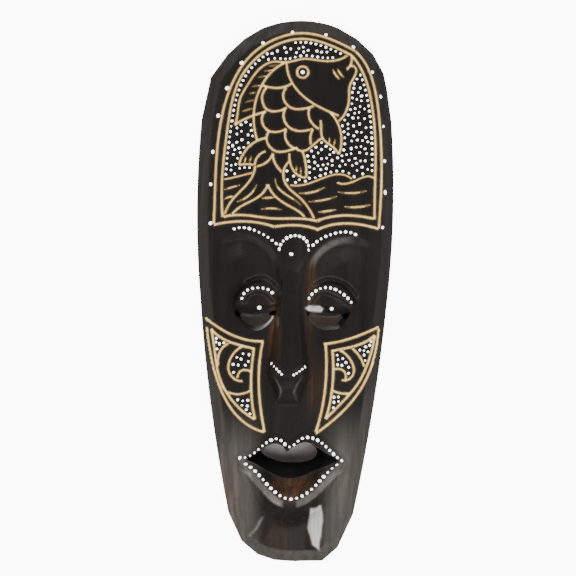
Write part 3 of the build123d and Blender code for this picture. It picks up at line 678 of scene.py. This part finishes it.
def carved_mask():
    outline_raw, rims = read_body()
    outline = spaced(outline_raw, OUTLINE_STEP)
    fronts = [spaced(curve_through(a), OUTLINE_STEP) for a, _ in OPENINGS]
    backs = [curve_through(b) for _, b in OPENINGS]
    grooves = Grooves(rims)
    low = outline.min(axis=0)
    high = outline.max(axis=0)

    # the front
    loops = []
    count = 0
    for loop in [outline] + fronts:
        loops.append((count, len(loop)))
        count += len(loop)
    fixed = np.vstack([outline] + fronts)
    lines = within(kept_apart(rim_points(rims), fixed, NEAREST), outline, fronts)
    fixed = np.vstack([fixed, lines])
    for step, bottom, top in ((FACE_GRID, low[1], PANEL_GRID_FOOT), (PANEL_GRID, PANEL_GRID_FOOT, high[1])):
        grid = hex_grid(step, (low[0], bottom), (high[0], top))
        grid = within(grid, outline, fronts)
        fixed = np.vstack([fixed, kept_apart(grid, fixed, 0.62 * step)])
    x, z = fixed.T
    faces = triangles(fixed, loops, outline, fronts)
    inward = line_distance(x, z, outline, True)
    groove = grooves.depth(x, z)
    h = sculpt(x, z, inward, groove)
    places = [np.column_stack([x, h, z])]
    all_faces = faces.tolist()
    masks = {
        "groove": [ramp(groove, -0.08, 0.34)],
        # rim: a painted shade line just outside each gouge line
        "rim": [np.exp(-(((groove + 0.5) / 0.45) ** 2)) * (groove > -2)],
        "worn": [worn(x, z)],
        # painted sheen and painted highlights, laid into the wood's colour
        "grey": [greyed(x, z, inward)],
        "bare": [np.zeros(len(x))],
        "hole": [np.zeros(len(x))],
    }

    def more(points, **values):
        start = sum(len(p) for p in places)
        places.append(points)
        for key in masks:
            masks[key].append(np.full(len(points), values.get(key, 0.0)))
        return start

    def strip(upper, lower, size):
        """Faces between two closed rows of points."""
        for i in range(size):
            j = (i + 1) % size
            all_faces.append((upper + i, lower + i, lower + j))
            all_faces.append((upper + i, lower + j, upper + j))

    # the sides
    row = 0
    edge_height = h[:len(outline)]
    for number in range(1, SIDE_ROWS + 1):
        share = 1 - number / SIDE_ROWS
        # the sides get half the painted sheen
        below = more(np.column_stack([outline[:, 0], edge_height * share, outline[:, 1]]), grey=0.5)
        strip(row, below, len(outline))
        row = below
    back_outline = row

    # the back
    back_points = np.vstack([outline] + backs)
    back_loops = [(0, len(outline))]
    count = len(outline)
    for loop in backs:
        back_loops.append((count, len(loop)))
        count += len(loop)
    grid = within(hex_grid(BACK_GRID, low, high), outline, backs)
    fine = within(hex_grid(BACK_RIM_GRID, low, high), outline, backs)
    fine_rim = line_distance(fine[:, 0], fine[:, 1], outline, True)
    fine = fine[(fine_rim > RIM_WIDTH - 2) & (fine_rim < RIM_WIDTH + HOLLOW_WALL + 2)]
    back_points = np.vstack([back_points, kept_apart(fine, back_points, 0.8)])
    back_points = np.vstack([back_points, kept_apart(grid, back_points, 0.6 * BACK_GRID)])
    bx, bz = back_points.T
    back_faces = triangles(back_points, back_loops, outline, backs)
    b_inward = line_distance(bx, bz, outline, True)
    b_front = sculpt(bx, bz, b_inward, np.full(len(bx), -RIM_REACH))
    bh = back_height(bx, bz, b_front, b_inward)
    start = sum(len(p) for p in places)
    size = len(outline)
    inside_points = np.column_stack([bx, bh, bz])[size:]
    places.append(inside_points)
    bare = 0.35 + 0.25 * swell(bx, bz, 18, 70, 7) + 0.25 * smooth((b_inward - RIM_WIDTH) / HOLLOW_WALL)
    for loop in backs:
        bare = bare * ramp(line_distance(bx, bz, loop, True), 3, 9)
    # painted shade: the back turns near black close to its openings
    back_opening_shade = np.zeros(len(bx))
    for loop in backs:
        back_opening_shade = np.maximum(back_opening_shade, ramp(line_distance(bx, bz, loop, True), 7, 2))
    own = {"bare": bare, "hole": back_opening_shade}
    for key in masks:
        masks[key].append(own[key][size:] if key in own else np.zeros(len(inside_points)))

    def back_index(i):
        return back_outline + i if i < size else start + i - size

    for a, b, c in back_faces.tolist():
        all_faces.append((back_index(a), back_index(c), back_index(b)))

    # the walls of the openings, from the rim on the front to the narrower loop at the back
    for (front_start, front_count), loop, (back_start, back_count) in zip(loops[1:], backs, back_loops[1:]):
        lip = places[0][front_start:front_start + front_count]
        # the walls of an opening are painted near black: the stain darkened as painted shade
        below = more(lip - (0, RIM_DROP, 0), hole=1)
        strip(front_start, below, front_count)
        upper = [below + i for i in range(front_count)]
        lower = [back_index(back_start + i) for i in range(back_count)]
        all_faces.extend(bridge(upper, fixed[front_start:front_start + front_count], lower, loop))

    places = np.vstack(places)
    masks = {key: np.concatenate(values) for key, values in masks.items()}
    made = mesh_object("carved_mask", places, all_faces, masks, SHARP_DEGREES)
    return made, grooves, outline


def bridge(upper, upper_places, lower, lower_places):
    """Triangles between two closed loops with different numbers of points, side by side in order."""
    middle = upper_places.mean(axis=0)
    turn_upper = np.unwrap(np.arctan2(*(upper_places - middle).T[::-1]))
    turn_lower = np.unwrap(np.arctan2(*(lower_places - middle).T[::-1]))
    if turn_upper[-1] < turn_upper[0]:
        upper = upper[::-1]
        upper_places = upper_places[::-1]
    if turn_lower[-1] < turn_lower[0]:
        lower = lower[::-1]
        lower_places = lower_places[::-1]
    begin = int(np.argmin(np.hypot(*(lower_places - upper_places[0]).T)))
    lower = lower[begin:] + lower[:begin]
    lower_places = np.roll(lower_places, -begin, axis=0)
    faces = []
    i = 0
    j = 0
    while i < len(upper) or j < len(lower):
        next_i = np.hypot(*(upper_places[(i + 1) % len(upper)] - lower_places[j % len(lower)]))
        next_j = np.hypot(*(upper_places[i % len(upper)] - lower_places[(j + 1) % len(lower)]))
        a = upper[i % len(upper)]
        b = lower[j % len(lower)]
        if j >= len(lower) or (i < len(upper) and next_i < next_j):
            faces.append((a, upper[(i + 1) % len(upper)], b))
            i += 1
        else:
            faces.append((a, lower[(j + 1) % len(lower)], b))
            j += 1
    return faces


# ------------------------------------------------------------------ paint dots
DOT_NODES = [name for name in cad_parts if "_dot" in name]
# middle size of the dried drops against the beads they are placed by
DOT_SWELL = {
    "border_dots": 0.86,
    "panel_dots": 0.7,
    "upper_lip_dots": 0.8,
    "lower_lip_dots": 0.8,
    "pupil_dots": 0.8,
    "forehead_dot": 0.8,
    "fish_eye_dot": 0.86,
}
FINE_SWELL = 0.74           # on the brows, lids, nostrils and cheeks
DOT_HEIGHT = 0.62           # as a share of the radius
DOT_PROFILE = [(1, -0.35), (1.02, 0.05), (0.93, 0.42), (0.68, 0.78), (0.36, 0.96)]
DOT_SIDES = 14


def paint_dots(node, grooves, outline, chance):
    """The drops of one group, laid on the carved surface, each a little uneven as a stick leaves it."""
    spots = np.array(islands(node))
    step = 0.5
    probe = np.vstack([spots[:, :2] + way for way in ((0, 0), (step, 0), (-step, 0), (0, step), (0, -step))])
    x, z = probe.T
    inward = line_distance(x, z, outline, True)
    h = sculpt(x, z, inward, np.full(len(x), -RIM_REACH)).reshape(5, -1)
    tilt_x = (h[1] - h[2]) / (2 * step)
    tilt_z = (h[3] - h[4]) / (2 * step)
    turns = np.arange(DOT_SIDES) * 2 * math.pi / DOT_SIDES
    places = []
    faces = []
    for number, (x0, z0, radius) in enumerate(spots):
        base = len(places)
        normal = Vector((-tilt_x[number], 1, -tilt_z[number])).normalized()
        side = normal.cross(Vector((0, 0, 1))).normalized()
        up = side.cross(normal)
        size = radius * DOT_SWELL.get(node, FINE_SWELL) * chance.uniform(0.83, 1.17)
        long_way = chance.uniform(0, math.pi)
        stretch = 1 + chance.uniform(0, 0.3)
        lean = chance.uniform(-0.12, 0.12, 2)
        middle = Vector((x0, h[0][number], z0))
        for share, lift in DOT_PROFILE:
            for turn in turns:
                reach = size * share * (1 + 0.05 * math.sin(2 * turn + long_way * 3))
                reach *= 1 + (stretch - 1) * abs(math.cos(turn - long_way))
                a = reach * math.cos(turn) + lean[0] * size * lift
                b = reach * math.sin(turn) + lean[1] * size * lift
                places.append(middle + side * a + up * b + normal * (lift * DOT_HEIGHT * size))
        places.append(middle + normal * DOT_HEIGHT * size)
        places.append(middle - normal * 0.5 * size)
        rings = len(DOT_PROFILE)
        for ring in range(rings - 1):
            for i in range(DOT_SIDES):
                j = (i + 1) % DOT_SIDES
                a = base + ring * DOT_SIDES
                faces.append((a + i, a + j, a + DOT_SIDES + j, a + DOT_SIDES + i))
        crest = base + (rings - 1) * DOT_SIDES
        for i in range(DOT_SIDES):
            j = (i + 1) % DOT_SIDES
            faces.append((crest + i, crest + j, base + rings * DOT_SIDES))
            faces.append((base + j, base + i, base + rings * DOT_SIDES + 1))
    places = np.array([tuple(p) for p in places])
    made = mesh_object(node + "_paint", places, faces, {}, DOT_SHARP_DEGREES)
    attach(made, "mask")
    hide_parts(node)
    return made


# ------------------------------------------------------------------ materials
def new_material(name):
    made = bpy.data.materials.new(name)
    made.use_nodes = True
    return made, made.node_tree, made.node_tree.nodes["Principled BSDF"]


def add_node(tree, kind, **settings):
    made = tree.nodes.new(kind)
    for key, value in settings.items():
        setattr(made, key, value)
    return made


def mixed(tree, share, low, high):
    """A colour between two, each a plain colour or a socket."""
    mix = add_node(tree, "ShaderNodeMix", data_type="RGBA")
    for name, value in (("Factor", share), ("A", low), ("B", high)):
        socket = [s for s in mix.inputs if s.name == name and s.enabled][0]
        if isinstance(value, bpy.types.NodeSocket):
            tree.links.new(value, socket)
        else:
            socket.default_value = value if isinstance(value, (int, float)) else (*value, 1)
    return [s for s in mix.outputs if s.enabled][0]


def maths(tree, operation, *values, clamp=False):
    made = add_node(tree, "ShaderNodeMath", operation=operation, use_clamp=clamp)
    for socket, value in zip(made.inputs, values):
        if isinstance(value, bpy.types.NodeSocket):
            tree.links.new(value, socket)
        else:
            socket.default_value = value
    return made.outputs[0]


def noise(tree, scale, stretch=(1, 1, 1), detail=4.0, roughness=0.55, low=0.3, high=0.7):
    """Noise over the object's own metres, stretched along some axes, spread to 0..1."""
    place = add_node(tree, "ShaderNodeTexCoord")
    mapping = add_node(tree, "ShaderNodeMapping")
    mapping.inputs["Scale"].default_value = stretch
    tree.links.new(place.outputs["Object"], mapping.inputs["Vector"])
    made = add_node(tree, "ShaderNodeTexNoise")
    made.inputs["Scale"].default_value = scale
    made.inputs["Detail"].default_value = detail
    made.inputs["Roughness"].default_value = roughness
    tree.links.new(mapping.outputs[0], made.inputs["Vector"])
    spread = add_node(tree, "ShaderNodeMapRange", clamp=True)
    spread.inputs["From Min"].default_value = low
    spread.inputs["From Max"].default_value = high
    tree.links.new(made.outputs["Fac"], spread.inputs["Value"])
    return spread.outputs[0]


def attribute(tree, name):
    return add_node(tree, "ShaderNodeAttribute", attribute_name=name).outputs["Fac"]


def add_bump(tree, shader, height, strength, distance):
    bumped = add_node(tree, "ShaderNodeBump")
    bumped.inputs["Strength"].default_value = strength
    bumped.inputs["Distance"].default_value = distance
    tree.links.new(height, bumped.inputs["Height"])
    tree.links.new(bumped.outputs[0], shader.inputs["Normal"])


STAIN = (0.0068, 0.0062, 0.0056)
STAIN_WARM = (0.0125, 0.0098, 0.008)
RED_BROWN = (0.05, 0.024, 0.011)
# colours of the painted sheen and the painted highlights
PAINTED_SHEEN_GREY = (0.112, 0.1, 0.089)
PAINTED_HIGHLIGHT_WHITE = (0.5, 0.5, 0.49)
CUT_WOOD = (0.84, 0.54, 0.18)
CUT_WOOD_PALE = (1.0, 0.77, 0.34)
# painted shade along the gouge lines' rims, and the stain darkened by painted shade in the openings
GROOVE_EDGE_SHADE = (0.03, 0.014, 0.007)
SHADED_OPENING_BLACK = (0.0012, 0.0012, 0.0012)
RAW_WOOD = (0.42, 0.27, 0.15)
PAINT_GLOW = 1.8            # the drops give off a little light, so that they read as pure white


def stained_wood():
    """Dark satin stain over upright grain, rubbed brown in places, with pale wood in the cuts; painted sheen
    and highlights, and painted shade along the cuts' rims and in the openings.
    """
    made, tree, shader = new_material("stained_wood")
    grain = noise(tree, 95, (1, 1, 0.035), 6)
    fine_grain = noise(tree, 420, (1, 1, 0.03), 3)
    patches = noise(tree, 22, (1, 1, 0.4), 3)
    streaks = noise(tree, 160, (1, 1, 0.06), 5, 0.6, 0.38, 0.66)
    colour = mixed(tree, maths(tree, "MULTIPLY", grain, patches), STAIN, STAIN_WARM)
    brown = mixed(tree, fine_grain, RED_BROWN, [c * 0.45 for c in RED_BROWN])
    rubbed = maths(tree, "ADD", 0.25, streaks)
    worn_share = maths(tree, "MULTIPLY", attribute(tree, "worn"), rubbed, clamp=True)
    colour = mixed(tree, worn_share, colour, brown)
    # painted sheen and highlights: grey up to 1, nearly white above it
    grey = attribute(tree, "grey")
    lively = maths(tree, "ADD", 0.6, maths(tree, "MULTIPLY", streaks, 0.5))
    colour = mixed(tree, maths(tree, "MULTIPLY", grey, lively, clamp=True), colour, PAINTED_SHEEN_GREY)
    patchy = maths(tree, "ADD", 0.4, maths(tree, "MULTIPLY", streaks, 0.8))
    bright = maths(tree, "MULTIPLY", maths(tree, "SUBTRACT", grey, 1, clamp=True), patchy, clamp=True)
    colour = mixed(tree, bright, colour, PAINTED_HIGHLIGHT_WHITE)
    raw = mixed(tree, grain, RAW_WOOD, [c * 0.55 for c in RAW_WOOD])
    colour = mixed(tree, maths(tree, "MULTIPLY", attribute(tree, "bare"), patches), colour, raw)
    # painted shade along the rims of the gouge lines
    colour = mixed(tree, maths(tree, "MULTIPLY", attribute(tree, "rim"), 0.7), colour, GROOVE_EDGE_SHADE)
    cut = mixed(tree, noise(tree, 260, (1, 1, 0.3), 3), CUT_WOOD, CUT_WOOD_PALE)
    colour = mixed(tree, attribute(tree, "groove"), colour, cut)
    # painted shade: near black inside the openings and round them on the back
    colour = mixed(tree, attribute(tree, "hole"), colour, SHADED_OPENING_BLACK)
    tree.links.new(colour, shader.inputs["Base Color"])
    rough = maths(tree, "ADD", 0.36, maths(tree, "MULTIPLY", grain, 0.14))
    rough = maths(tree, "ADD", rough, maths(tree, "MULTIPLY", attribute(tree, "groove"), 0.35))
    tree.links.new(rough, shader.inputs["Roughness"])
    shader.inputs["Specular IOR Level"].default_value = 0.06
    add_bump(tree, shader, maths(tree, "ADD", grain, fine_grain), 0.28, 0.0006)
    return made


def white_paint():
    """Thick acrylic: white, glossy, with a faint unevenness and a little dust in it."""
    made, tree, shader = new_material("white_paint")
    colour = mixed(tree, noise(tree, 500), (0.9, 0.9, 0.88), (0.78, 0.78, 0.75))
    tree.links.new(colour, shader.inputs["Base Color"])
    rough = maths(tree, "ADD", 0.2, maths(tree, "MULTIPLY", noise(tree, 900), 0.2))
    tree.links.new(rough, shader.inputs["Roughness"])
    shader.inputs["Emission Color"].default_value = (1, 1, 1, 1)
    shader.inputs["Emission Strength"].default_value = PAINT_GLOW
    add_bump(tree, shader, noise(tree, 700), 0.15, 0.0003)
    return made


def hanger_steel(name, colour, stretch):
    """Zinc-plated steel with drawn lines along one way and dull patches."""
    made, tree, shader = new_material(name)
    lines = noise(tree, 900, stretch, 3)
    dull = noise(tree, 160, (1, 1, 1), 4)
    tree.links.new(mixed(tree, dull, colour, [c * 0.6 for c in colour]), shader.inputs["Base Color"])
    shader.inputs["Metallic"].default_value = 1
    rough = maths(tree, "ADD", 0.25, maths(tree, "MULTIPLY", maths(tree, "ADD", lines, dull), 0.16))
    tree.links.new(rough, shader.inputs["Roughness"])
    add_bump(tree, shader, lines, 0.2, 0.0001)
    return made


def assign(made, material):
    made.data.materials.clear()
    made.data.materials.append(material)


# ------------------------------------------------------------------ studio
WALL_GAP = 0.0015
WALL_TOP = 2
WALL_WHITE = (0.93, 0.93, 0.93)
WALL_GLOW = 9
PAINTED_SHADOW_SIZE = (0.066, 1, 0.2)   # half sizes of the painted shadow, a darker patch of the wall deep behind the mask
PAINTED_SHADOW_TONE = (0.3, 0.3, 0.3)
FLOOR_HEIGHT = -0.75
FLOOR_WHITE = (0.85, 0.85, 0.84)
STUDIO_HALF_WIDTH = 2.4


def studio_plane(name, corners, colour):
    mesh = bpy.data.meshes.new(name)
    mesh.from_pydata(corners, [], [(0, 1, 2, 3)])
    made = bpy.data.objects.new(name, mesh)
    bpy.context.scene.collection.objects.link(made)
    material, tree, shader = new_material(name)
    tone = mixed(tree, noise(tree, 6), colour, [c * 0.985 for c in colour])
    tree.links.new(tone, shader.inputs["Base Color"])
    shader.inputs["Roughness"].default_value = 0.9
    shader.inputs["Specular IOR Level"].default_value = 0.1
    mesh.materials.append(material)
    return made, material


def light_up_wall(tree):
    """The wall is bright to the camera alone, except for a painted shadow, a darker patch deep behind the
    mask.
    """
    shader = tree.nodes["Principled BSDF"]
    place = add_node(tree, "ShaderNodeTexCoord")
    mapping = add_node(tree, "ShaderNodeMapping")
    mapping.inputs["Scale"].default_value = [1 / size for size in PAINTED_SHADOW_SIZE]
    tree.links.new(place.outputs["Object"], mapping.inputs["Vector"])
    length = add_node(tree, "ShaderNodeVectorMath", operation="LENGTH")
    tree.links.new(mapping.outputs[0], length.inputs[0])
    outside = maths(tree, "MULTIPLY", maths(tree, "SUBTRACT", length.outputs["Value"], 0.9), 10, clamp=True)
    open_wall = shader.inputs["Base Color"].links[0].from_socket
    tree.links.new(mixed(tree, outside, PAINTED_SHADOW_TONE, open_wall), shader.inputs["Base Color"])
    shader.inputs["Emission Color"].default_value = (1, 1, 1, 1)
    seen = add_node(tree, "ShaderNodeLightPath").outputs["Is Camera Ray"]
    glow = maths(tree, "MULTIPLY", maths(tree, "MULTIPLY", outside, seen), WALL_GLOW)
    tree.links.new(glow, shader.inputs["Emission Strength"])
    # the wall only shows to a camera in front of it: it is clear from behind and lets light through, so
    # that the back of the mask is lit and shows
    clear = add_node(tree, "ShaderNodeBsdfTransparent")
    facing = add_node(tree, "ShaderNodeNewGeometry").outputs["Backfacing"]
    mix = add_node(tree, "ShaderNodeMixShader")
    hidden = maths(tree, "MAXIMUM", facing, maths(tree, "SUBTRACT", 1, seen))
    tree.links.new(hidden, mix.inputs[0])
    tree.links.new(shader.outputs[0], mix.inputs[1])
    tree.links.new(clear.outputs[0], mix.inputs[2])
    tree.links.new(mix.outputs[0], tree.nodes["Material Output"].inputs["Surface"])


def wall_and_floor():
    left = -STUDIO_HALF_WIDTH
    right = STUDIO_HALF_WIDTH
    wall, material = studio_plane("wall", [
        (left, WALL_GAP, FLOOR_HEIGHT),
        (right, WALL_GAP, FLOOR_HEIGHT),
        (right, WALL_GAP, WALL_TOP),
        (left, WALL_GAP, WALL_TOP),
    ], WALL_WHITE)
    light_up_wall(material.node_tree)
    wall.visible_shadow = False
    studio_plane("floor", [
        (left, left, FLOOR_HEIGHT),
        (right, left, FLOOR_HEIGHT),
        (right, right, FLOOR_HEIGHT),
        (left, right, FLOOR_HEIGHT),
    ], FLOOR_WHITE)


def soft_light(name, place, target, size, power):
    data = bpy.data.lights.new(name, "AREA")
    data.shape = "RECTANGLE"
    data.size = size[0]
    data.size_y = size[1]
    data.energy = power
    made = bpy.data.objects.new(name, data)
    made.location = place
    made.rotation_euler = (Vector(target) - Vector(place)).to_track_quat("-Z", "Y").to_euler()
    bpy.context.scene.collection.objects.link(made)


# each soft light: place, what it points at, width and height, watts
LIGHTS = {
    "light_below": ((0.2, -0.95, -0.6), (0, 0, -0.05), (1.0, 0.6), 19),
    "light_left": ((-1.1, -0.7, 0.1), (0, 0, 0), (0.9, 1.5), 12),
    "light_right": ((1.2, -0.7, 0.0), (0, 0, 0), (0.9, 1.5), 12),
    "light_top": ((0, -1.1, 1.2), (0, 0, 0.05), (1.4, 0.8), 14),
    "light_back": ((-0.7, 1.3, 0.6), (0, 0, 0.05), (1.2, 1.2), 22),
}
SKY = (0.95, 0.97, 1, 1)
SKY_STRENGTH = 0.55


def lights():
    for name, settings in LIGHTS.items():
        soft_light(name, *settings)
    world = bpy.data.worlds.new("studio")
    world.use_nodes = True
    background = world.node_tree.nodes["Background"]
    background.inputs["Color"].default_value = SKY
    background.inputs["Strength"].default_value = SKY_STRENGTH
    bpy.context.scene.world = world


CAMERA_DISTANCE = 5
VIEW_WIDTH = 0.5313         # width of the picture at the mask's front
VIEW_MIDDLE = (-0.0055, 0.0027)
VIEW_ROLL = math.radians(0.887)


def camera():
    data = bpy.data.cameras.new("camera")
    data.sensor_width = 36
    front = cad_low[1] * 0.5
    data.lens = data.sensor_width * (CAMERA_DISTANCE + front) / VIEW_WIDTH
    made = bpy.data.objects.new("camera", data)
    x, z = VIEW_MIDDLE
    turn = Matrix.Rotation(math.radians(90), 4, "X") @ Matrix.Rotation(VIEW_ROLL, 4, "Z")
    made.matrix_world = Matrix.Translation((x, -CAMERA_DISTANCE, z)) @ turn
    bpy.context.scene.collection.objects.link(made)
    bpy.context.scene.camera = made


# ------------------------------------------------------------------ the mask
wood = stained_wood()
paint = white_paint()
mask, grooves, outline = carved_mask()
assign(mask, wood)
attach(mask, "mask")
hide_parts("mask_body")

chance = np.random.default_rng(SEED)
for node in sorted(DOT_NODES):
    assign(paint_dots(node, grooves, outline, chance), paint)

STEEL = {
    "hanger_strap": ((0.6, 0.57, 0.5), (1, 1, 0.05)),
    "hanger_ring": ((0.66, 0.65, 0.62), (1, 1, 1)),
    "hanger_nails": ((0.48, 0.47, 0.46), (1, 0.1, 1)),
}
for node, (colour, stretch) in STEEL.items():
    assign(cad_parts[node], hanger_steel(node + "_steel", colour, stretch))

wall_and_floor()
lights()
camera()
